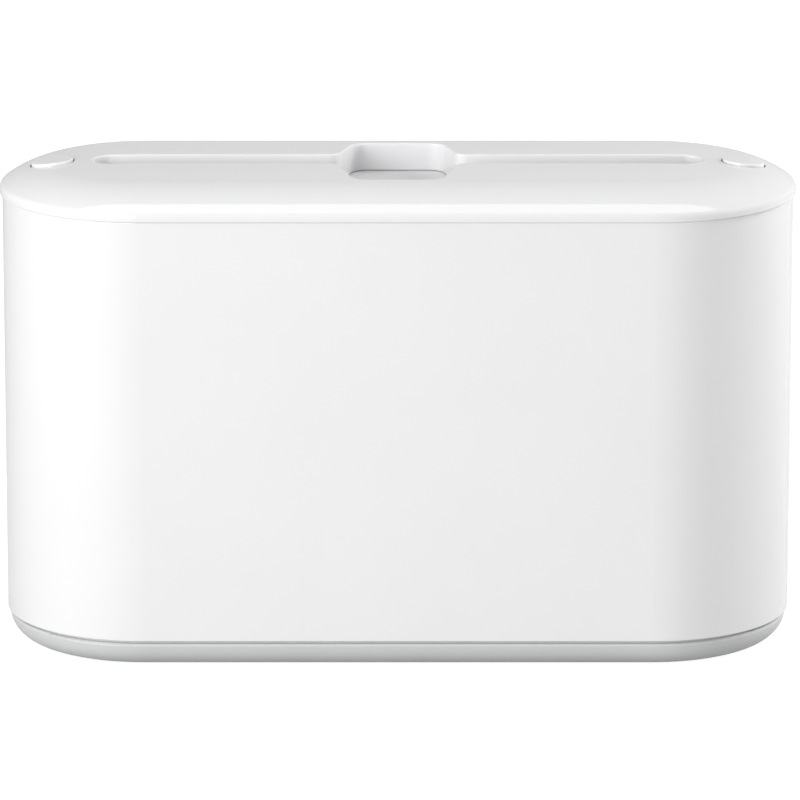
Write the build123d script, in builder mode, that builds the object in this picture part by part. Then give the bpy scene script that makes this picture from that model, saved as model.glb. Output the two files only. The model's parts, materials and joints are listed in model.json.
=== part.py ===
from build123d import *
import math
import os

# Countertop dispenser for folded paper towels. The towels lie in a well, on a sprung platform
# that lifts the pile against the lid, and are pulled out through the lid's opening.
# Millimetres. Z is up, X runs along the dispenser, and the origin is on the table below its centre.

# Lid. Seen from above it is a stadium, a rectangle with half-round ends.
lid_length = 322.0
lid_depth = 116.0
seam_height = 186.6
lid_wall = 2.5
lid_lip = 1.7
rim_radius = 3.1
shoulder_radius = 39.5
crown_slope = 4.0
shoulder_slope = 36.2
skirt_depth = 4.0
skirt_wall = 1.6

# Opening in the lid: a finger hole in the middle of a long slot.
hole_half_depth = 32.5
hole_flat_half = 17.7
hole_half_width = 26.0
hole_corner_radius = 7.0
slot_end_margin = 2.85
slot_width = 15.4
slot_blend_radius = 5.0
collar_depth = 12.2
collar_wall = 2.0
opening_edge_radius = 0.7

# Body sleeve and base.
lid_overhang = 1.1
body_wall = 2.5
body_bottom = 12.9
seam_edge_radius = 0.5
base_bottom = 1.2
base_gap = 1.2
base_top_inset = 1.0
base_foot_inset = 12.0
base_bulge = 3.1
base_edge_radius = 1.0
base_wall = 2.5
base_rim_height = 6.6
base_rim_wall = 1.8

# Towel well, platform and lift springs.
well_end_room = 35.0
well_side_room = 15.0
well_wall = 1.8
well_corner_radius = 6.0
well_below_seam = 2.0
well_boss_height = 20.0
platform_wall = 2.5
platform_skirt = 15.0
platform_skirt_wall = 2.0
platform_travel = 130.0
platform_rib_spacing = 50.0
platform_edge = 0.5
tab_width = 8.0
tab_height = 4.0
tab_reach = 4.0
tab_spacing = 48.0
lift_spring_end_room = 56.0
lift_spring_side_room = 5.0
lift_wire = 1.4
lift_head_radius = 20.0
lift_turns = 9
spring_ring_height = 3.0
spring_ring_wall = 2.0

# Push buttons and lid latches. Each button's wedge draws one latch inward.
button_past_well = 13.6
button_radius = 8.4
button_proud = 1.2
button_edge_radius = 0.6
button_flange_radius = 10.8
button_travel = 3.0
button_wire = 0.7
button_spring_length = 9.9
button_spring_radius = 7.0
button_spring_turns = 4
stem_width = 8.0
latch_width = 14.0
latch_height = 6.0
latch_engagement = 2.5
nose_bevel = 2.5
latch_wire = 0.5
latch_spring_radius = 1.8
latch_spring_turns = 4
latch_bore_depth = 3.5
ledge_reach = 3.5
ledge_width = 18.0
ledge_bevel = 1.5
housing_wall = 1.6
shelf_wall = 2.0
shelf_below_seam = 6.4
housing_end_room = 8.6
ear_spacing = 36.0
ear_width = 8.0

# Screws and feet.
base_screw_past_well = 9.0
base_screw_spacing_y = 40.0
well_screw_inset = 8.0
big_screw_radius = 1.95
big_head_radius = 3.6
big_head_height = 2.4
big_screw_grip = 12.0
small_screw_radius = 1.45
small_head_radius = 2.8
small_head_height = 1.8
small_screw_grip = 7.0
drive_depth = 1.2
drive_width = 0.9
boss_wall = 2.5
boss_height = 28.0
rib_wall = 2.0
head_recess = 3.0
seat_wall = 2.5
foot_radius = 7.0
foot_sunk = 1.2
foot_end_room = 31.0
foot_spacing_y = 56.0

# Clearances.
running_gap = 0.3
thread_gap = 0.05
platform_gap = 0.5
collar_gap = 0.3
button_gap = 0.7
latch_end_gap = 0.5
lift_out_gap = 0.9
cut_margin = 1.0
point_tolerance = 0.001

# Lid, worked out from its arcs.
half_straight = (lid_length - lid_depth) / 2
lid_reach = lid_depth / 2
crown_sine = math.sin(math.radians(crown_slope))
crown_cosine = math.cos(math.radians(crown_slope))
shoulder_sine = math.sin(math.radians(shoulder_slope))
shoulder_cosine = math.cos(math.radians(shoulder_slope))
rim_run = rim_radius * (1 - shoulder_sine)
shoulder_run = shoulder_radius * (shoulder_sine - crown_sine)
crown_radius = (lid_reach - rim_run - shoulder_run) / crown_sine
rim_rise = rim_radius * shoulder_cosine
shoulder_rise = shoulder_radius * (crown_cosine - shoulder_cosine)
lid_top = seam_height + lid_lip + rim_rise + shoulder_rise + crown_radius * (1 - crown_cosine)
collar_foot = lid_top - collar_depth

# Body and base.
body_reach = lid_reach - lid_overhang
body_inside = body_reach - body_wall
skirt_reach = body_inside - running_gap
skirt_inside = skirt_reach - skirt_wall
skirt_foot = seam_height - skirt_depth
base_floor = base_bottom + base_wall
base_rim_top = body_bottom + base_rim_height
base_shoulder = body_bottom - base_gap
base_rim_inside = skirt_reach - base_rim_wall

# Platform and well.
well_length = lid_length - 2 * well_end_room
well_width = lid_depth - 2 * well_side_room
well_top = seam_height - well_below_seam
slot_length = well_length - 2 * slot_end_margin
spring_spacing = well_length - 2 * lift_spring_end_room
lift_foot_radius = well_width / 2 - lift_spring_side_room
lift_spiral_step = (lift_foot_radius - lift_head_radius) / lift_turns
foot_ring_radius = lift_foot_radius - 2 * lift_spiral_step
head_ring_radius = lift_head_radius - lift_wire / 2 - running_gap
base_screw_spacing_x = well_length + 2 * base_screw_past_well
well_screw_spacing_x = well_length - 2 * well_screw_inset
well_screw_spacing_y = well_width - 2 * well_screw_inset
foot_spacing_x = well_length - 2 * foot_end_room
boss_radius = big_screw_radius + boss_wall
well_foot = body_bottom + 2 * running_gap
well_rib_x = (well_length + well_wall - well_screw_spacing_x + rib_wall) / 2 - boss_radius
well_rib_y = (well_width + well_wall - well_screw_spacing_y + rib_wall) / 2 - boss_radius
platform_top = collar_foot - collar_gap
platform_under = platform_top - platform_wall
platform_foot = platform_top - platform_skirt
platform_length = well_length - 2 * platform_gap
platform_width = well_width - 2 * platform_gap
slot_foot = platform_foot - platform_travel - running_gap
slot_height = platform_travel + tab_height + 2 * running_gap
slot_breadth = tab_width + 2 * running_gap

# Buttons and latches, on the +X side.
button_x = well_length / 2 + button_past_well
button_spacing = 2 * button_x
shelf_top = seam_height - shelf_below_seam
shelf_under = shelf_top - shelf_wall
latch_top = shelf_under - running_gap
latch_foot = latch_top - latch_height
latch_middle = (latch_top + latch_foot) / 2
housing_floor = latch_foot - running_gap
housing_foot = housing_floor - housing_wall
housing_half = latch_width / 2 + running_gap + housing_wall
housing_inner_x = button_x - housing_end_room
ledge_x = half_straight + body_inside - ledge_reach
housing_outer_x = ledge_x - lift_out_gap
nose_x = ledge_x + latch_engagement
latch_back_x = housing_inner_x + button_travel + latch_end_gap
wedge_tip_x = button_x + stem_width / 2
wedge_tip_z = housing_floor + button_travel + latch_end_gap
wedge_line = wedge_tip_x + wedge_tip_z
latch_slant_line = wedge_line - running_gap * math.sqrt(2)
window_end_x = wedge_tip_x + 2 * button_travel + running_gap
button_foot = shelf_top + button_spring_length
latch_bore_radius = latch_spring_radius + latch_wire / 2 + running_gap

# Screws.
screw_seat = base_bottom + head_recess
well_boss_foot = screw_seat + seat_wall
column_radius = big_head_radius + running_gap + housing_wall
ear_boss_radius = small_screw_radius + boss_wall

# The half-round ends are turned about these upright lines.
right_end = Plane(origin=(half_straight, 0, 0), x_dir=(0, -1, 0), z_dir=(-1, 0, 0))
right_axis = Axis((half_straight, 0, 0), (0, 0, 1))


def run_round(section):
    """Solid made by running a half section along the straight middle and round both ends."""
    with BuildPart() as solid:
        with BuildSketch(Plane.YZ):
            add(section)
            mirror(about=Plane.YZ)
        extrude(amount=half_straight)
        with BuildSketch(right_end):
            add(section)
        revolve(axis=right_axis, revolution_arc=180)
        mirror(about=Plane.YZ)
    return solid.part


def crowned_block(inset, foot):
    """Block under the lid's crowned face, `inset` inside that face and down to height `foot`."""
    with BuildSketch() as section:
        with BuildLine():
            crown = JernArc((0, lid_top - inset), (1, 0), crown_radius - inset, -crown_slope)
            turn = crown_slope - shoulder_slope
            shoulder = JernArc(crown @ 1, crown % 1, shoulder_radius - inset, turn)
            rim = JernArc(shoulder @ 1, shoulder % 1, rim_radius - inset, shoulder_slope - 90)
            Polyline(rim @ 1, ((rim @ 1).X, foot), (0, foot), crown @ 0)
        make_face()
    return run_round(section.sketch)


def base_block():
    """Base pan with its curved skirt, which stops short of the body, and the rim that enters it."""
    outer_top = body_reach - base_top_inset
    outer_foot = body_reach - base_foot_inset
    with BuildSketch() as section:
        with BuildLine():
            floor = Line((0, base_bottom), (outer_foot, base_bottom))
            skirt = SagittaArc(floor @ 1, (outer_top, base_shoulder), -base_bulge)
            rim = Polyline(
                skirt @ 1,
                (skirt_reach, base_shoulder),
                (skirt_reach, base_rim_top),
                (base_rim_inside, base_rim_top),
                (base_rim_inside, body_bottom),
            )
            lining = SagittaArc(rim @ 1, (outer_foot - base_wall, base_floor), base_bulge)
            Polyline(lining @ 1, (0, base_floor), floor @ 0)
        make_face()
        fillet(section.vertices().sort_by(Axis.X)[-1], base_edge_radius)
    return run_round(section.sketch)


def opening_outline(growth):
    """The finger hole and slot, seen from above and grown outward by `growth`."""
    with BuildSketch() as outline:
        Polygon(
            (hole_flat_half, hole_half_depth),
            (hole_half_width, 0),
            (hole_flat_half, -hole_half_depth),
            (-hole_flat_half, -hole_half_depth),
            (-hole_half_width, 0),
            (-hole_flat_half, hole_half_depth),
        )
        corners = outline.vertices().filter_by(lambda v: abs(v.Y) > slot_width / 2)
        fillet(corners, hole_corner_radius)
        SlotOverall(slot_length, slot_width)
        beside_slot = outline.vertices().filter_by(
            lambda v: abs(abs(v.Y) - slot_width / 2) < point_tolerance
        )
        blends = beside_slot.filter_by(lambda v: abs(v.X) < hole_half_width)
        fillet(blends, slot_blend_radius)
        if growth > 0:
            offset(amount=growth, kind=Kind.ARC)
    return outline.sketch


def is_mouth_edge(edge):
    """Whether an edge lies on the lid's crown and runs round the opening.
    The crown's arc is drawn along the middle and turned round the inner end of each straight side,
    and the edges where these two join run across the lid and are left out."""
    spot = edge.center()
    past_straight = abs(spot.X) - half_straight
    reach = math.hypot(max(past_straight, 0), spot.Y)
    off_crown = abs(math.hypot(reach, spot.Z - lid_top + crown_radius) - crown_radius)
    beside_opening = abs(spot.X) < slot_length / 2 + cut_margin and abs(spot.Y) < hole_half_depth + cut_margin
    return off_crown < opening_edge_radius and beside_opening and abs(past_straight) > point_tolerance


def is_cap_rim(edge):
    """Whether an edge runs round the top of the +X button's cap."""
    spot = edge @ 0.5
    off_side = abs(math.hypot(spot.X - button_x, spot.Y) - button_radius)
    return off_side < point_tolerance and spot.Z > button_foot + point_tolerance


def screw_group(spacing_x, spacing_y, seat, length, shank_radius, head_radius, head_height):
    """Four upright cross-head screws whose heads bear upward on height `seat`."""
    with BuildPart() as screws:
        with BuildSketch(Plane.XY.offset(seat - head_height)):
            with GridLocations(spacing_x, spacing_y, 2, 2):
                Circle(head_radius)
        extrude(amount=head_height)
        with BuildSketch(Plane.XY.offset(seat)):
            with GridLocations(spacing_x, spacing_y, 2, 2):
                Circle(shank_radius)
        extrude(amount=length)
        tips = screws.faces().group_by(Axis.Z)[-1].edges()
        chamfer(tips, shank_radius / 2)
        with BuildSketch(Plane.XY.offset(seat - head_height)):
            with GridLocations(spacing_x, spacing_y, 2, 2):
                Rectangle(head_radius, drive_width)
                Rectangle(drive_width, head_radius)
        extrude(amount=drive_depth, mode=Mode.SUBTRACT)
    return screws.part


def biarc(start, start_heading, end, end_heading):
    """Two arcs that join smoothly, from one point and heading to another."""
    chord = end - start
    along = chord.dot(start_heading + end_heading)
    spread = 2 * (1 - start_heading.dot(end_heading))
    reach = (math.sqrt(along**2 + spread * chord.dot(chord)) - along) / spread
    before = start + start_heading * reach
    after = end - end_heading * reach
    joint = (before + after) / 2
    TangentArc(start, joint, tangent=start_heading)
    TangentArc(joint, end, tangent=after - before)


def coil_spring(name, turns, flat_turns, foot_radius, head_radius, height, wire):
    """Wire spring standing on z = 0 about Z, with `flat_turns` lying flat at each end.
    Between them the wire climbs evenly, but for one turn at each end that eases into the climb."""
    foot = wire / 2 + thread_gap
    rise = height - 2 * foot
    climbing = turns - 2 * flat_turns
    nudge = 0.001

    def climb(turn):
        before = min(max(turn - flat_turns, 0), climbing)
        after = climbing - before
        even = before - 0.5
        if before < 1:
            even = before**2 / 2
        if after < 1:
            even = climbing - 1 - after**2 / 2
        return even / (climbing - 1)

    def place(turn):
        radius = foot_radius + (head_radius - foot_radius) * turn / turns
        angle = 2 * math.pi * turn
        level = foot + rise * climb(turn)
        return Vector(radius * math.cos(angle), radius * math.sin(angle), level)

    def heading(turn):
        return (place(turn + nudge) - place(turn - nudge)).normalized()

    with BuildPart() as spring:
        with BuildLine():
            for half in range(2 * turns):
                start = half / 2
                end = start + 0.5
                biarc(place(start), heading(start), place(end), heading(end))
        with BuildSketch(Plane(origin=place(0), z_dir=heading(0))):
            Circle(wire / 2)
        sweep()

    steps = 16
    points = [place(step / steps) for step in range(turns * steps + 1)]
    spans = [
        (points[low] - points[high]).length
        for low in range(len(points))
        for high in range(low + steps // 2, len(points))
    ]
    print(f"{name}: {turns} turns, least gap to itself {min(spans) - wire:.2f} mm")
    return spring.part


# Body sleeve, open at both ends, with a ledge in each end wall that the latch catches under
# and four bosses for the base screws, each tied to the end wall by a rib.
ledge_foot = latch_top + running_gap
ledge_top = skirt_foot - running_gap
with BuildPart() as body_shell:
    with BuildSketch(Plane.XY.offset(body_bottom)):
        SlotCenterToCenter(2 * half_straight, 2 * body_reach)
        SlotCenterToCenter(2 * half_straight, 2 * body_inside, mode=Mode.SUBTRACT)
    extrude(amount=seam_height - body_bottom)
    fillet(body_shell.edges().filter_by(Axis.Z, reverse=True), seam_edge_radius)
    with BuildSketch(Plane.XZ.offset(-ledge_width / 2)):
        with BuildLine():
            Polyline(
                (ledge_x, ledge_foot),
                (ledge_x + ledge_reach + body_wall / 2, ledge_foot),
                (ledge_x + ledge_reach + body_wall / 2, ledge_top),
                (ledge_x + ledge_bevel, ledge_top),
                (ledge_x, ledge_top - ledge_bevel),
                close=True,
            )
        make_face()
    extrude(amount=ledge_width)
    with BuildSketch(Plane.XY.offset(base_rim_top)):
        with Locations(
            (base_screw_spacing_x / 2, base_screw_spacing_y / 2),
            (base_screw_spacing_x / 2, -base_screw_spacing_y / 2),
        ):
            Circle(boss_radius)
            Rectangle(body_inside, rib_wall, align=(Align.MIN, Align.CENTER))
        SlotCenterToCenter(2 * half_straight, 2 * body_reach - body_wall, mode=Mode.INTERSECT)
    extrude(amount=boss_height)
    with BuildSketch(Plane.XY.offset(base_rim_top)):
        with GridLocations(base_screw_spacing_x, base_screw_spacing_y, 2, 2):
            Circle(big_screw_radius + thread_gap)
    extrude(amount=big_screw_grip + cut_margin, mode=Mode.SUBTRACT)
    mirror(about=Plane.YZ)

# Base pan. Columns carry the screws, low rings keep the lift springs in place,
# and shallow recesses below hold the feet.
with BuildPart() as base_pan:
    add(base_block())
    with BuildSketch(Plane.XY.offset(base_bottom)):
        with GridLocations(base_screw_spacing_x, base_screw_spacing_y, 2, 2):
            Circle(column_radius)
    extrude(amount=base_rim_top - base_bottom)
    with BuildSketch(Plane.XY.offset(base_bottom)):
        with GridLocations(well_screw_spacing_x, well_screw_spacing_y, 2, 2):
            Circle(column_radius)
    extrude(amount=well_boss_foot - base_bottom)
    with BuildSketch(Plane.XY.offset(base_floor)):
        with GridLocations(spring_spacing, 0, 2, 1):
            Circle(foot_ring_radius)
            Circle(foot_ring_radius - spring_ring_wall, mode=Mode.SUBTRACT)
    extrude(amount=spring_ring_height)
    with BuildSketch(Plane.XY.offset(base_bottom)):
        with GridLocations(base_screw_spacing_x, base_screw_spacing_y, 2, 2):
            Circle(big_head_radius + running_gap)
        with GridLocations(well_screw_spacing_x, well_screw_spacing_y, 2, 2):
            Circle(big_head_radius + running_gap)
    extrude(amount=head_recess, mode=Mode.SUBTRACT)
    with BuildSketch(Plane.XY.offset(base_bottom)):
        with GridLocations(base_screw_spacing_x, base_screw_spacing_y, 2, 2):
            Circle(big_screw_radius + thread_gap)
        with GridLocations(well_screw_spacing_x, well_screw_spacing_y, 2, 2):
            Circle(big_screw_radius + thread_gap)
    extrude(amount=base_rim_top, mode=Mode.SUBTRACT)
    with BuildSketch(Plane.XY.offset(base_bottom)):
        with GridLocations(foot_spacing_x, foot_spacing_y, 2, 2):
            Circle(foot_radius)
    extrude(amount=foot_sunk, mode=Mode.SUBTRACT)

with BuildPart() as rubber_feet:
    with BuildSketch():
        with GridLocations(foot_spacing_x, foot_spacing_y, 2, 2):
            Circle(foot_radius)
    extrude(amount=base_bottom + foot_sunk)

base_screw_length = base_rim_top - screw_seat + big_screw_grip
base_screws = screw_group(
    base_screw_spacing_x,
    base_screw_spacing_y,
    screw_seat,
    base_screw_length,
    big_screw_radius,
    big_head_radius,
    big_head_height,
)

# Towel well: a box open above and below. Slots in its end walls guide the platform's tabs,
# and the closed upper ends of the slots stop the platform below the lid.
with BuildPart() as towel_well:
    with BuildSketch(Plane.XY.offset(well_foot)):
        RectangleRounded(
            well_length + 2 * well_wall, well_width + 2 * well_wall, well_corner_radius + well_wall
        )
        RectangleRounded(well_length, well_width, well_corner_radius, mode=Mode.SUBTRACT)
    extrude(amount=well_top - well_foot)
    with BuildSketch(Plane.XY.offset(well_boss_foot)):
        with Locations((well_screw_spacing_x / 2, well_screw_spacing_y / 2)):
            Circle(boss_radius)
            Circle(big_screw_radius + thread_gap, mode=Mode.SUBTRACT)
    extrude(amount=well_boss_height)
    with BuildSketch(Plane.XY.offset(well_foot)):
        with Locations((well_screw_spacing_x / 2 + boss_radius - rib_wall / 2, well_screw_spacing_y / 2)):
            Rectangle(well_rib_x, rib_wall, align=(Align.MIN, Align.CENTER))
        with Locations((well_screw_spacing_x / 2, well_screw_spacing_y / 2 + boss_radius - rib_wall / 2)):
            Rectangle(rib_wall, well_rib_y, align=(Align.CENTER, Align.MIN))
    extrude(amount=well_boss_foot + well_boss_height - well_foot)
    with BuildSketch(Plane.YZ.offset(well_length / 2 - cut_margin)):
        with Locations((tab_spacing / 2, slot_foot)):
            Rectangle(slot_breadth, slot_height, align=(Align.CENTER, Align.MIN))
    extrude(amount=well_wall + 2 * cut_margin, mode=Mode.SUBTRACT)
    split(bisect_by=Plane.XZ, keep=Keep.BOTTOM)
    mirror(about=Plane.XZ)
    split(bisect_by=Plane.YZ, keep=Keep.TOP)
    mirror(about=Plane.YZ)

well_screws = screw_group(
    well_screw_spacing_x,
    well_screw_spacing_y,
    screw_seat,
    seat_wall + big_screw_grip,
    big_screw_radius,
    big_head_radius,
    big_head_height,
)

# Platform: a skirted plate with two guide tabs at each end and a ring below for each spring's head.
with BuildPart() as towel_platform:
    with BuildSketch(Plane.XY.offset(platform_foot)):
        RectangleRounded(platform_length, platform_width, well_corner_radius)
    extrude(amount=platform_skirt)
    chamfer(towel_platform.faces().sort_by(Axis.Z)[-1].edges(), platform_edge)
    with BuildSketch(Plane.XY.offset(platform_foot)):
        RectangleRounded(
            platform_length - 2 * platform_skirt_wall,
            platform_width - 2 * platform_skirt_wall,
            well_corner_radius - platform_skirt_wall,
        )
        with GridLocations(platform_rib_spacing, 0, 2, 1):
            Rectangle(rib_wall, platform_width, mode=Mode.SUBTRACT)
    extrude(amount=platform_under - platform_foot, mode=Mode.SUBTRACT)
    with BuildSketch(Plane.XY.offset(platform_foot)):
        with GridLocations(platform_length + tab_reach - platform_skirt_wall, tab_spacing, 2, 2):
            Rectangle(tab_reach + platform_skirt_wall, tab_width)
    extrude(amount=tab_height)
    with BuildSketch(Plane.XY.offset(platform_under - spring_ring_height)):
        with GridLocations(spring_spacing, 0, 2, 1):
            Circle(head_ring_radius)
            Circle(head_ring_radius - spring_ring_wall, mode=Mode.SUBTRACT)
    extrude(amount=spring_ring_height)

lift_spring = coil_spring(
    "lift spring",
    lift_turns,
    1,
    lift_foot_radius,
    lift_head_radius,
    platform_under - base_floor,
    lift_wire,
)

# Lid: a crowned shell with a locating skirt, a collar that hangs below the opening,
# holes for the two buttons and bosses for the latch housings.
lid_hollow = crowned_block(lid_wall, skirt_foot - cut_margin)
lid_envelope = crowned_block(0, housing_foot)
with BuildPart() as lid_hollow_in_skirt:
    add(lid_hollow)
    with BuildSketch(Plane.XY.offset(skirt_foot - cut_margin)):
        SlotCenterToCenter(2 * half_straight, 2 * skirt_inside)
    extrude(amount=lid_top - skirt_foot + cut_margin, mode=Mode.INTERSECT)

with BuildPart() as under_roof:
    with BuildSketch(Plane.XY.offset(collar_foot)):
        add(opening_outline(collar_wall))
    extrude(amount=collar_depth)
    with BuildSketch(Plane.XY.offset(shelf_top)):
        with GridLocations(button_spacing, ear_spacing, 2, 2):
            Circle(ear_boss_radius)
    extrude(amount=lid_top - shelf_top)
    add(lid_envelope, mode=Mode.INTERSECT)

with BuildPart() as lid_cover:
    add(crowned_block(0, seam_height))
    fillet(lid_cover.faces().sort_by(Axis.Z)[0].edges(), seam_edge_radius)
    with BuildSketch(Plane.XY.offset(skirt_foot)):
        SlotCenterToCenter(2 * half_straight, 2 * skirt_reach)
    extrude(amount=skirt_depth)
    add(lid_hollow_in_skirt.part, mode=Mode.SUBTRACT)
    add(under_roof.part)
    with BuildSketch(Plane.XY.offset(collar_foot)):
        add(opening_outline(0))
    extrude(amount=collar_depth + cut_margin, mode=Mode.SUBTRACT)
    with BuildSketch(Plane.XY.offset(seam_height)):
        with GridLocations(button_spacing, 0, 2, 1):
            Circle(button_radius + button_gap)
    extrude(amount=lid_top - seam_height + cut_margin, mode=Mode.SUBTRACT)
    mouth_edges = lid_cover.edges().filter_by(Axis.Z, reverse=True).filter_by(is_mouth_edge)
    fillet(mouth_edges, opening_edge_radius)
    with BuildSketch(Plane.XY.offset(shelf_top)):
        with GridLocations(button_spacing, ear_spacing, 2, 2):
            Circle(small_screw_radius + thread_gap)
    extrude(amount=small_screw_grip + cut_margin, mode=Mode.SUBTRACT)

# Latch housing, on the +X side: a channel for the latch under a shelf that guides the button's stem
# and carries two screw ears.
with BuildPart() as right_latch_housing:
    with BuildSketch(Plane.XY.offset(housing_foot)):
        with Locations((housing_inner_x - housing_wall, 0)):
            Rectangle(
                housing_outer_x - housing_inner_x + housing_wall,
                2 * housing_half,
                align=(Align.MIN, Align.CENTER),
            )
    extrude(amount=shelf_top - housing_foot)
    with BuildSketch(Plane.XY.offset(shelf_under)):
        with Locations((button_x, 0)):
            SlotOverall(ear_spacing + ear_width, ear_width, rotation=90)
    extrude(amount=shelf_wall)
    with BuildSketch(Plane.XY.offset(housing_floor)):
        with Locations((housing_inner_x, 0)):
            Rectangle(
                housing_outer_x - housing_inner_x,
                latch_width + 2 * running_gap,
                align=(Align.MIN, Align.CENTER),
            )
    extrude(amount=shelf_under - housing_floor, mode=Mode.SUBTRACT)
    with BuildSketch(Plane.XY.offset(shelf_under)):
        with Locations((button_x, 0)):
            Rectangle(stem_width + 2 * running_gap, stem_width + 2 * running_gap)
            with GridLocations(0, ear_spacing, 1, 2):
                Circle(small_screw_radius + running_gap)
    extrude(amount=shelf_wall, mode=Mode.SUBTRACT)

latch_screws = screw_group(
    button_spacing,
    ear_spacing,
    shelf_under,
    shelf_wall + small_screw_grip,
    small_screw_radius,
    small_head_radius,
    small_head_height,
)

# Push button, on the +X side: a crowned cap, a flange that stops below the roof,
# and a square stem whose foot is a wedge.
with BuildPart() as flange:
    with BuildSketch(Plane.XY.offset(button_foot)):
        with Locations((button_x, 0)):
            Circle(button_flange_radius)
    extrude(amount=lid_top - button_foot)
    add(crowned_block(lid_wall + running_gap, housing_foot), mode=Mode.INTERSECT)

with BuildPart() as right_button:
    with BuildSketch(Plane.XY.offset(button_foot)):
        with Locations((button_x, 0)):
            Circle(button_radius)
    extrude(amount=lid_top + button_proud - button_foot)
    add(crowned_block(-button_proud, housing_foot), mode=Mode.INTERSECT)
    cap_rim = right_button.edges().filter_by(Axis.Z, reverse=True).filter_by(is_cap_rim)
    fillet(cap_rim, button_edge_radius)
    add(flange.part)
    with BuildSketch(Plane.XZ.offset(-stem_width / 2)):
        with BuildLine():
            Polyline(
                (wedge_tip_x, wedge_tip_z),
                (wedge_tip_x, button_foot),
                (wedge_tip_x - stem_width, button_foot),
                (wedge_tip_x - stem_width, wedge_tip_z + stem_width),
                close=True,
            )
        make_face()
    extrude(amount=stem_width)

# Latch, on the +X side: a flat bolt with a window for the wedge and a bore for its spring.
with BuildPart() as right_latch:
    with BuildSketch(Plane.XZ.offset(-latch_width / 2)):
        with BuildLine():
            Polyline(
                (latch_back_x, latch_foot),
                (nose_x - nose_bevel, latch_foot),
                (nose_x, latch_foot + nose_bevel),
                (nose_x, latch_top),
                (latch_back_x, latch_top),
                close=True,
            )
        make_face()
    extrude(amount=latch_width)
    with BuildSketch(Plane.XZ.offset(-stem_width / 2 - running_gap)):
        with BuildLine():
            Polyline(
                (latch_slant_line - latch_top, latch_top),
                (window_end_x, latch_top),
                (window_end_x, latch_foot),
                (latch_slant_line - latch_foot, latch_foot),
                close=True,
            )
        make_face()
    extrude(amount=stem_width + 2 * running_gap, mode=Mode.SUBTRACT)
    with BuildSketch(Plane.YZ.offset(latch_back_x)):
        with Locations((0, latch_middle)):
            Circle(latch_bore_radius)
    extrude(amount=latch_bore_depth, mode=Mode.SUBTRACT)

button_spring = coil_spring(
    "button spring",
    button_spring_turns,
    0,
    button_spring_radius,
    button_spring_radius,
    button_spring_length,
    button_wire,
)
latch_spring = coil_spring(
    "latch spring",
    latch_spring_turns,
    0,
    latch_spring_radius,
    latch_spring_radius,
    latch_back_x + latch_bore_depth - housing_inner_x,
    latch_wire,
)
right_button_spring = Pos(button_x, 0, shelf_top) * button_spring
right_latch_spring = Pos(housing_inner_x, 0, latch_middle) * Rot(0, 90, 0) * latch_spring

pieces = {
    "body_shell": body_shell.part,
    "base_pan": base_pan.part,
    "rubber_feet": rubber_feet.part,
    "base_screws": base_screws,
    "towel_well": towel_well.part,
    "well_screws": well_screws,
    "towel_platform": towel_platform.part,
    "left_lift_spring": Pos(-spring_spacing / 2, 0, base_floor) * lift_spring,
    "right_lift_spring": Pos(spring_spacing / 2, 0, base_floor) * lift_spring,
    "lid_cover": lid_cover.part,
    "latch_housing_screws": latch_screws,
}
one_sided = {
    "latch_housing": right_latch_housing.part,
    "button": right_button.part,
    "latch": right_latch.part,
    "button_spring": right_button_spring,
    "latch_spring": right_latch_spring,
}
for name, piece in one_sided.items():
    pieces[f"right_{name}"] = piece
    pieces[f"left_{name}"] = mirror(piece, about=Plane.YZ)

os.makedirs("parts", exist_ok=True)
for name, piece in pieces.items():
    piece.label = name
    export_step(piece, f"parts/{name}.step")
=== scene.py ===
import json
import math

import bpy
import numpy as np
from bpy.props import FloatProperty, FloatVectorProperty, PointerProperty
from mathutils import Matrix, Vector


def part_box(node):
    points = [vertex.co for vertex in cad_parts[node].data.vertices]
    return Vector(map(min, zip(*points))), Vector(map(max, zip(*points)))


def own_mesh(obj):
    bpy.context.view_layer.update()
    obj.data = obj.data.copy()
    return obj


# Countertop dispenser for folded paper towels: a white gloss sleeve with half-round ends on a
# recessed base, under a crowned lid with a slot, a finger opening and two push buttons.
# Metres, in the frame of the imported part: Z up, X along the dispenser, origin on the table.

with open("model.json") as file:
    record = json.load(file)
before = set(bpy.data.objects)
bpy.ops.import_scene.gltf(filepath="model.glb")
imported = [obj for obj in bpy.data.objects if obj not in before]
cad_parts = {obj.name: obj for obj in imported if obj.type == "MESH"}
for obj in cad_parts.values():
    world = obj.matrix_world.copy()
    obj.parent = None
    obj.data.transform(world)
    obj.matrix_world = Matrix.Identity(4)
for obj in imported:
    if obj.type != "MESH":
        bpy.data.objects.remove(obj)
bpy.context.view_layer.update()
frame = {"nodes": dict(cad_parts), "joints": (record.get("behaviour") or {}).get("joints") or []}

bl_info = {
    "name": "Folded Towel Dispenser",
    "version": (1, 0, 0),
    "blender": (4, 5, 0),
    "location": "3D View > Sidebar > Dispenser",
    "description": "Dresses the packed dispenser with its finishes and sets its studio",
    "category": "Object",
}

MM = 0.001

# Most of a noise texture's values lie between these.
NOISE_LOW, NOISE_HIGH = 0.3, 0.7
# Spacing of the patches over which a plastic's tone drifts.
DRIFT = 55 * MM
# Spread of a metal's roughness to either side.
METAL_WANDER = 0.08

# The picture's side and the camera's shift, in pixels.
PICTURE_SIDE = 800
SHIFT_RIGHT, SHIFT_UP = 2.2, -3.2
SENSOR_WIDTH = 36
NEAREST, FURTHEST = 0.05, 100

# The table top: half its side, the share of that which is flat, and its squares along a side.
FLOOR_HALF_SIDE, FLOOR_FLAT, FLOOR_SQUARES = 6.0, 0.9, 40
FLOOR_MOTTLE = 200 * MM

# The lamps at the sides and in front shine at the middle of the sleeve.
SLEEVE_MIDDLE = (0, 0, 100 * MM)


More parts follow.
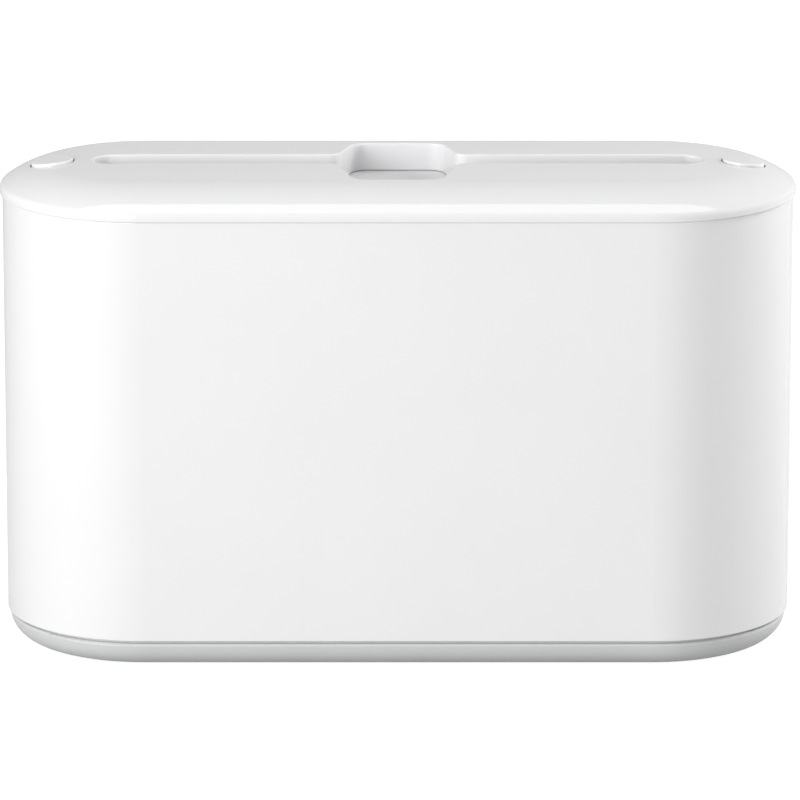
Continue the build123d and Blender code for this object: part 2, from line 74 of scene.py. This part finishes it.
def linear(code):
    """RGBA in linear light from an sRGB hex code."""
    parts = [int(code[i:i + 2], 16) / 255 for i in (0, 2, 4)]
    return tuple(c / 12.92 if c <= 0.04045 else ((c + 0.055) / 1.055) ** 2.4 for c in parts) + (1.0,)


WHITE = linear("FFFFFF")


def colour(name, description, code):
    """A colour property whose default is an sRGB hex code."""
    return FloatVectorProperty(
        name=name, description=description, subtype="COLOR", size=4, min=0, max=1, default=linear(code)
    )


def length(name, description, default):
    """A length property in metres."""
    return FloatProperty(
        name=name, description=description, default=default, min=0, subtype="DISTANCE", unit="LENGTH"
    )


def share(name, description, default):
    """A property from 0 to 1."""
    return FloatProperty(name=name, description=description, default=default, min=0, max=1, subtype="FACTOR")


def lamp_power(name, description, default):
    """A lamp's power in watts."""
    return FloatProperty(name=name, description=description, default=default, min=0, unit="POWER")


class DispenserFinish(bpy.types.PropertyGroup):
    """Colours and surface sizes of the dispenser's finishes."""

    shell_white: colour("Shell white", "Gloss white of the sleeve, the lid and the buttons", "EBEBEC")
    shell_roughness: share("Shell roughness", "Roughness of the polished moulding", 0.03)
    ripple_size: length("Ripple size", "Spacing of the faint ripple in the gloss", 7 * MM)
    base_grey: colour("Base grey", "Light grey of the base pan", "D2D3D3")
    base_grain: length("Base grain", "Spacing of the base's moulded grain", 0.8 * MM)
    inner_white: colour("Inner white", "Matt white of the well, platform and housings", "E6E6E6")
    inner_grain: length("Inner grain", "Spacing of the platform's moulded grain", 0.7 * MM)
    latch_ivory: colour("Latch ivory", "Natural acetal of the latches", "E6E3D8")
    zinc: colour("Zinc", "Bright zinc plating of the screws", "C9CCD0")
    spring_grey: colour("Spring grey", "Drawn spring steel", "9B9DA1")
    rubber_black: colour("Rubber black", "Rubber of the feet", "2A2B2C")


class DispenserStage(bpy.types.PropertyGroup):
    """Camera, lamps and floor."""

    camera_distance: length("Camera distance", "From the aim point to the camera", 2.927)
    camera_elevation: FloatProperty(
        name="Camera elevation", description="Angle above the horizon", default=math.radians(14.82),
        subtype="ANGLE", unit="ROTATION",
    )
    aim_height: length("Aim height", "Height of the aim point above the table", 0.100)
    focal_length: FloatProperty(name="Focal length", description="In millimetres", default=323.2, min=1)
    floor_white: colour("Floor white", "Grey of the table top under its lift to white", "A2A2A2")
    floor_lift: share("Floor lift", "How far the floor is lifted to white where it is seen", 0.92)
    sky: share("Sky", "How much of the white surround a reflection sees", 0.53)
    surround: share("Surround", "Even light from all round", 0.4)
    top_light: lamp_power("Top light", "Power of the overhead softbox", 0.6)
    rim_light: lamp_power("Rim light", "Power of the overhead softbox that only reflections see", 2.5)
    left_light: lamp_power("Left light", "Power of the left softbox", 18.4)
    right_light: lamp_power("Right light", "Power of the right strip", 14.5)
    front_left_light: lamp_power("Front left light", "Power of the low front softbox", 21.0)
    mirrored: share("Mirrored floor", "How much of the lifted floor a reflection sees", 0.54)


def add_node(tree, kind, values=None, links=None, **settings):
    """Adds one shader node, sets its settings and socket values and links its inputs."""
    made = tree.nodes.new(kind)
    for key, value in settings.items():
        setattr(made, key, value)
    for socket, value in (values or {}).items():
        made.inputs[socket].default_value = value
    for socket, source in (links or {}).items():
        tree.links.new(source, made.inputs[socket])
    return made


def new_material(name):
    """A material without nodes, and its node tree."""
    material = bpy.data.materials.new(name)
    material.use_nodes = True
    material.node_tree.nodes.clear()
    return material, material.node_tree


def wandering(tree, noise, middle, wander):
    """A socket that follows a noise texture from `middle` - `wander` to `middle` + `wander`."""
    spread = {
        "From Min": NOISE_LOW, "From Max": NOISE_HIGH, "To Min": middle - wander, "To Max": middle + wander
    }
    return add_node(tree, "ShaderNodeMapRange", spread, {"Value": noise.outputs["Fac"]}).outputs["Result"]


def plastic(name, tone, fleck, roughness, wander, grain, depth, octaves):
    """Moulded plastic: a tone that drifts towards `fleck` about every 55 mm, a roughness that wanders
    with it by `wander` to either side, and bumps `grain` apart and `depth` deep with finer `octaves`."""
    material, tree = new_material(name)
    place = add_node(tree, "ShaderNodeTexCoord").outputs["Object"]
    drift = add_node(tree, "ShaderNodeTexNoise", {"Scale": 1 / DRIFT, "Detail": 3.0}, {"Vector": place})
    tint = add_node(
        tree, "ShaderNodeMix", {"A": tone, "B": fleck}, {"Factor": drift.outputs["Fac"]}, data_type="RGBA"
    )
    dullness = wandering(tree, drift, roughness, wander)
    grains = add_node(
        tree, "ShaderNodeTexNoise", {"Scale": 1 / grain, "Detail": octaves, "Roughness": 0.5},
        {"Vector": place},
    )
    bump = add_node(
        tree, "ShaderNodeBump", {"Strength": 1.0, "Distance": depth}, {"Height": grains.outputs["Fac"]}
    )
    shader = add_node(
        tree,
        "ShaderNodeBsdfPrincipled",
        {"IOR": 1.5},
        {
            "Base Color": tint.outputs["Result"],
            "Roughness": dullness,
            "Normal": bump.outputs["Normal"],
        },
    )
    add_node(tree, "ShaderNodeOutputMaterial", links={"Surface": shader.outputs["BSDF"]})
    return material


def dress(names, material):
    """Gives CAD nodes a material in each of their slots."""
    for name in names:
        slots = frame["nodes"][name].data.materials
        for index in range(max(len(slots), 1)):
            if index < len(slots):
                slots[index] = material
            else:
                slots.append(material)


class DISPENSER_OT_shell(bpy.types.Operator):
    """Sleeve, lid and buttons in polished white plastic"""

    bl_idname = "dispenser.shell"
    bl_label = "Dress the shell"

    def execute(self, context):
        finish = context.scene.dispenser_finish
        # Polished ABS: an even, neutral white with a gloss that mirrors lamps with sharp edges.
        # A ripple 7 mm apart and 2 micrometres deep keeps the gloss from looking like glass.
        dress(["body_shell", "lid_cover", "left_button", "right_button"], plastic(
            "polished_white_abs", finish.shell_white, linear("E7E7E8"),
            roughness=finish.shell_roughness, wander=0.005,
            grain=finish.ripple_size, depth=0.002 * MM, octaves=1.0,
        ))
        return {"FINISHED"}


class DISPENSER_OT_base(bpy.types.Operator):
    """Base pan in satin grey plastic, on rubber feet"""

    bl_idname = "dispenser.base"
    bl_label = "Dress the base"

    def execute(self, context):
        finish = context.scene.dispenser_finish
        # Satin ABS: a flat light grey whose soft sheen is broken up by a grain 0.8 mm apart.
        dress(["base_pan"], plastic(
            "satin_grey_abs", finish.base_grey, linear("CBCCCC"),
            roughness=0.38, wander=0.05, grain=finish.base_grain, depth=0.01 * MM, octaves=2.0,
        ))
        # Moulded rubber: near black and matt, with a grain 0.6 mm apart.
        dress(["rubber_feet"], plastic(
            "moulded_black_rubber", finish.rubber_black, linear("323334"),
            roughness=0.75, wander=0.08, grain=0.6 * MM, depth=0.02 * MM, octaves=2.0,
        ))
        return {"FINISHED"}


class DISPENSER_OT_inside(bpy.types.Operator):
    """Well, platform and latch housings in matt white plastic, latches in acetal"""

    bl_idname = "dispenser.inside"
    bl_label = "Dress the inside"

    def execute(self, context):
        finish = context.scene.dispenser_finish
        # Polystyrene: flat white and dull, so that it shows soft shadows and no reflections.
        dress(["towel_well", "towel_platform", "left_latch_housing", "right_latch_housing"], plastic(
            "matt_white_polystyrene", finish.inner_white, linear("E0E0E1"),
            roughness=0.5, wander=0.05, grain=finish.inner_grain, depth=0.008 * MM, octaves=2.0,
        ))
        # Acetal: a waxy white, slightly warm, with a low sheen.
        dress(["left_latch", "right_latch"], plastic(
            "natural_acetal", finish.latch_ivory, linear("DEDBD0"),
            roughness=0.32, wander=0.04, grain=2.5 * MM, depth=0.004 * MM, octaves=1.0,
        ))
        return {"FINISHED"}


def steel(name, tone, other_tone, roughness, streak):
    """Metal with fine streaks `streak` apart in its tone and roughness."""
    material, tree = new_material(name)
    place = add_node(tree, "ShaderNodeTexCoord").outputs["Object"]
    streaks = add_node(tree, "ShaderNodeTexNoise", {"Scale": 1 / streak, "Detail": 3.0}, {"Vector": place})
    tint = add_node(
        tree, "ShaderNodeMix", {"A": tone, "B": other_tone}, {"Factor": streaks.outputs["Fac"]},
        data_type="RGBA",
    )
    dullness = wandering(tree, streaks, roughness, METAL_WANDER)
    shader = add_node(
        tree,
        "ShaderNodeBsdfPrincipled",
        {"Metallic": 1.0},
        {"Base Color": tint.outputs["Result"], "Roughness": dullness},
    )
    add_node(tree, "ShaderNodeOutputMaterial", links={"Surface": shader.outputs["BSDF"]})
    return material


def squeeze(name, letter, seat):
    """Gives a coil spring its own copy of its mesh. It works out the seat, which lies at `seat` along the
    axis `letter`, and the direction from the seat to the spring's free end, but nothing uses them."""
    spring, along = frame["nodes"][name], "xyz".index(letter)
    low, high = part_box(name)
    anchor, axis = (low + high) / 2, Vector()
    axis[along] = math.copysign(1, anchor[along] - seat)
    anchor[along] = seat
    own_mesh(spring)


class DISPENSER_OT_hardware(bpy.types.Operator):
    """Screws in bright zinc and springs in drawn steel"""

    bl_idname = "dispenser.hardware"
    bl_label = "Dress the hardware"

    def execute(self, context):
        finish = context.scene.dispenser_finish
        # Zinc plating: pale bluish metal with a soft shine and streaks 0.9 mm apart.
        dress(
            ["base_screws", "well_screws", "latch_housing_screws"],
            steel("bright_zinc_plating", finish.zinc, linear("BFC4CC"), roughness=0.3, streak=0.9 * MM),
        )
        # Drawn wire: a darker grey metal with streaks 0.5 mm apart.
        dress(
            [name for name in frame["nodes"] if name.endswith("_spring")],
            steel(
                "drawn_spring_steel", finish.spring_grey, linear("86888C"), roughness=0.35, streak=0.5 * MM
            ),
        )
        # The frame's joints name the springs that they press, the axis and the place of the fixed end.
        for joint in frame["joints"]:
            for pressed in joint.get("deforming_nodes", []):
                letter = pressed["mode"][-1]
                squeeze(pressed["node"], letter, pressed[f"fixed_end_{letter}_m"])
        return {"FINISHED"}


def seen_or_mirrored(tree, mirrored):
    """A socket that is 1 for camera rays, `mirrored` for glossy and transmission rays and 0 for the rest."""
    path = add_node(tree, "ShaderNodeLightPath")
    either = add_node(
        tree, "ShaderNodeMath", operation="MAXIMUM",
        links={0: path.outputs["Is Glossy Ray"], 1: path.outputs["Is Transmission Ray"]},
    )
    dimmed = add_node(
        tree, "ShaderNodeMath", {1: mirrored}, {0: either.outputs[0]}, operation="MULTIPLY"
    )
    return add_node(
        tree, "ShaderNodeMath",
        links={0: path.outputs["Is Camera Ray"], 1: dimmed.outputs[0]}, operation="MAXIMUM",
    ).outputs[0]


def softbox(name, power, place, aim, width, height, lights=True, mirrored=True):
    """A rectangular area lamp that shines from `place` towards `aim`. It can be kept from lighting
    matt surfaces, or from showing in reflections."""
    lamp = bpy.data.lights.new(name, "AREA")
    lamp.shape, lamp.size, lamp.size_y, lamp.energy = "RECTANGLE", width, height, power
    made = bpy.data.objects.new(name, lamp)
    made.location = place
    made.visible_diffuse, made.visible_glossy = lights, mirrored
    made.rotation_mode = "QUATERNION"
    made.rotation_quaternion = (Vector(aim) - Vector(place)).to_track_quat("-Z", "Y")
    bpy.context.scene.collection.objects.link(made)
    return made


def floor_mesh(side, edge, steps):
    """A square table top whose rim rolls down: x and y run over an even grid of `steps` squares,
    and z falls as the square of how far a point is past `edge` of the half side."""
    run = np.linspace(-side, side, steps + 1)
    x, y = (values.ravel() for values in np.meshgrid(run, run))
    past = np.maximum(np.maximum(np.abs(x), np.abs(y)) / side - edge, 0)
    points = np.stack([x, y, -side * past**2], axis=1)
    corner = (np.arange(steps)[:, None] * (steps + 1) + np.arange(steps)).ravel()
    squares = np.stack([corner, corner + 1, corner + steps + 2, corner + steps + 1], axis=1)
    mesh = bpy.data.meshes.new("floor")
    mesh.from_pydata(points.tolist(), [], squares.tolist())
    mesh.polygons.foreach_set("use_smooth", np.ones(len(squares), bool))
    return mesh


class DISPENSER_OT_stage(bpy.types.Operator):
    """Camera, lamps, surround and floor"""

    bl_idname = "dispenser.stage"
    bl_label = "Set the stage"

    def execute(self, context):
        scene, stage = context.scene, context.scene.dispenser_stage
        self.set_camera(scene, stage)
        self.set_surround(scene, stage)
        self.set_floor(scene, stage)
        self.set_lamps(stage)
        scene.view_settings.view_transform = "Standard"
        return {"FINISHED"}

    def set_lamps(self, stage):
        """An overhead pair, of which one lights and the other makes the bright band on the lid's rim,
        a square box at the left and another in front of it, and an upright strip at the right."""
        softbox(
            "top_softbox", stage.top_light, place=(0, -0.1, 0.84), aim=(0, -0.1, 0),
            width=0.9, height=0.46, mirrored=False,
        )
        softbox(
            "rim_softbox", stage.rim_light, place=(0, -0.07, 0.8), aim=(0, -0.07, 0),
            width=0.9, height=0.4, lights=False,
        )
        softbox(
            "left_softbox", stage.left_light, place=(-1.3, -1.2, 0.6), aim=SLEEVE_MIDDLE,
            width=1.2, height=1.2,
        )
        softbox(
            "right_softbox", stage.right_light, place=(1.2, 0.35, 0.5), aim=SLEEVE_MIDDLE,
            width=0.4, height=1.0, mirrored=False,
        )
        softbox(
            "front_left_softbox", stage.front_left_light, place=(-0.8, -2.2, 0.5), aim=SLEEVE_MIDDLE,
            width=0.8, height=0.8,
        )

    def set_camera(self, scene, stage):
        """Level camera at the picture's distance, elevation and framing."""
        data = bpy.data.cameras.new("camera")
        data.lens, data.sensor_width = stage.focal_length, SENSOR_WIDTH
        data.shift_x, data.shift_y = SHIFT_RIGHT / PICTURE_SIDE, SHIFT_UP / PICTURE_SIDE
        data.clip_start, data.clip_end = NEAREST, FURTHEST
        camera = bpy.data.objects.new("camera", data)
        back = Vector((0, -math.cos(stage.camera_elevation), math.sin(stage.camera_elevation)))
        camera.location = Vector((0, 0, stage.aim_height)) + back * stage.camera_distance
        camera.rotation_mode = "QUATERNION"
        camera.rotation_quaternion = (-back).to_track_quat("-Z", "Y")
        scene.collection.objects.link(camera)
        scene.camera = camera

    def set_surround(self, scene, stage):
        """White where the camera or a reflection sees it, and an even soft light on the object."""
        scene.world = bpy.data.worlds.new("surround")
        scene.world.use_nodes = True
        tree = scene.world.node_tree
        tree.nodes.clear()
        strength = add_node(
            tree, "ShaderNodeMapRange", {"To Min": stage.surround, "To Max": 1.0},
            {"Value": seen_or_mirrored(tree, stage.sky)},
        )
        sky = add_node(
            tree, "ShaderNodeBackground", {"Color": WHITE}, {"Strength": strength.outputs["Result"]}
        )
        add_node(tree, "ShaderNodeOutputWorld", links={"Surface": sky.outputs["Background"]})

    def set_floor(self, scene, stage):
        """Pale table top that keeps the shadow and is white elsewhere."""
        # Laminate: an even pale grey, matt, with a faint mottle 200 mm apart.
        material, tree = new_material("pale_laminate")
        place = add_node(tree, "ShaderNodeTexCoord").outputs["Object"]
        mottle = add_node(
            tree, "ShaderNodeTexNoise", {"Scale": 1 / FLOOR_MOTTLE, "Detail": 2.0}, {"Vector": place}
        )
        tint = add_node(
            tree, "ShaderNodeMix", {"A": stage.floor_white, "B": linear("9E9E9E")},
            {"Factor": mottle.outputs["Fac"]}, data_type="RGBA",
        )
        paint = add_node(tree, "ShaderNodeBsdfDiffuse", links={"Color": tint.outputs["Result"]})
        lift = add_node(
            tree, "ShaderNodeMapRange", {"To Min": 0.0, "To Max": stage.floor_lift},
            {"Value": seen_or_mirrored(tree, stage.mirrored)},
        )
        glow = add_node(
            tree, "ShaderNodeEmission", {"Color": WHITE}, {"Strength": lift.outputs["Result"]}
        )
        both = add_node(
            tree, "ShaderNodeAddShader", links={0: paint.outputs["BSDF"], 1: glow.outputs["Emission"]}
        )
        add_node(tree, "ShaderNodeOutputMaterial", links={"Surface": both.outputs["Shader"]})
        mesh = floor_mesh(FLOOR_HALF_SIDE, FLOOR_FLAT, FLOOR_SQUARES)
        mesh.materials.append(material)
        floor = bpy.data.objects.new("floor", mesh)
        scene.collection.objects.link(floor)


class DISPENSER_PT_panel(bpy.types.Panel):
    """Lists the dispenser's pieces and its stage"""

    bl_idname = "DISPENSER_PT_panel"
    bl_label = "Towel dispenser"
    bl_space_type = "VIEW_3D"
    bl_region_type = "UI"
    bl_category = "Dispenser"

    def draw(self, context):
        for operator in OPERATORS:
            self.layout.operator(operator.bl_idname)
        for group in (context.scene.dispenser_finish, context.scene.dispenser_stage):
            column = self.layout.column()
            for name in group.bl_rna.properties.keys():
                if name not in ("rna_type", "name"):
                    column.prop(group, name)


OPERATORS = (
    DISPENSER_OT_shell,
    DISPENSER_OT_base,
    DISPENSER_OT_inside,
    DISPENSER_OT_hardware,
    DISPENSER_OT_stage,
)
CLASSES = (DispenserFinish, DispenserStage, *OPERATORS, DISPENSER_PT_panel)


def register():
    for cls in CLASSES:
        bpy.utils.register_class(cls)
    bpy.types.Scene.dispenser_finish = PointerProperty(type=DispenserFinish)
    bpy.types.Scene.dispenser_stage = PointerProperty(type=DispenserStage)


def unregister():
    del bpy.types.Scene.dispenser_stage
    del bpy.types.Scene.dispenser_finish
    for cls in reversed(CLASSES):
        bpy.utils.unregister_class(cls)


def main():
    register()
    bpy.ops.dispenser.shell()
    bpy.ops.dispenser.base()
    bpy.ops.dispenser.inside()
    bpy.ops.dispenser.hardware()
    bpy.ops.dispenser.stage()


if __name__ == "__main__":
    main()
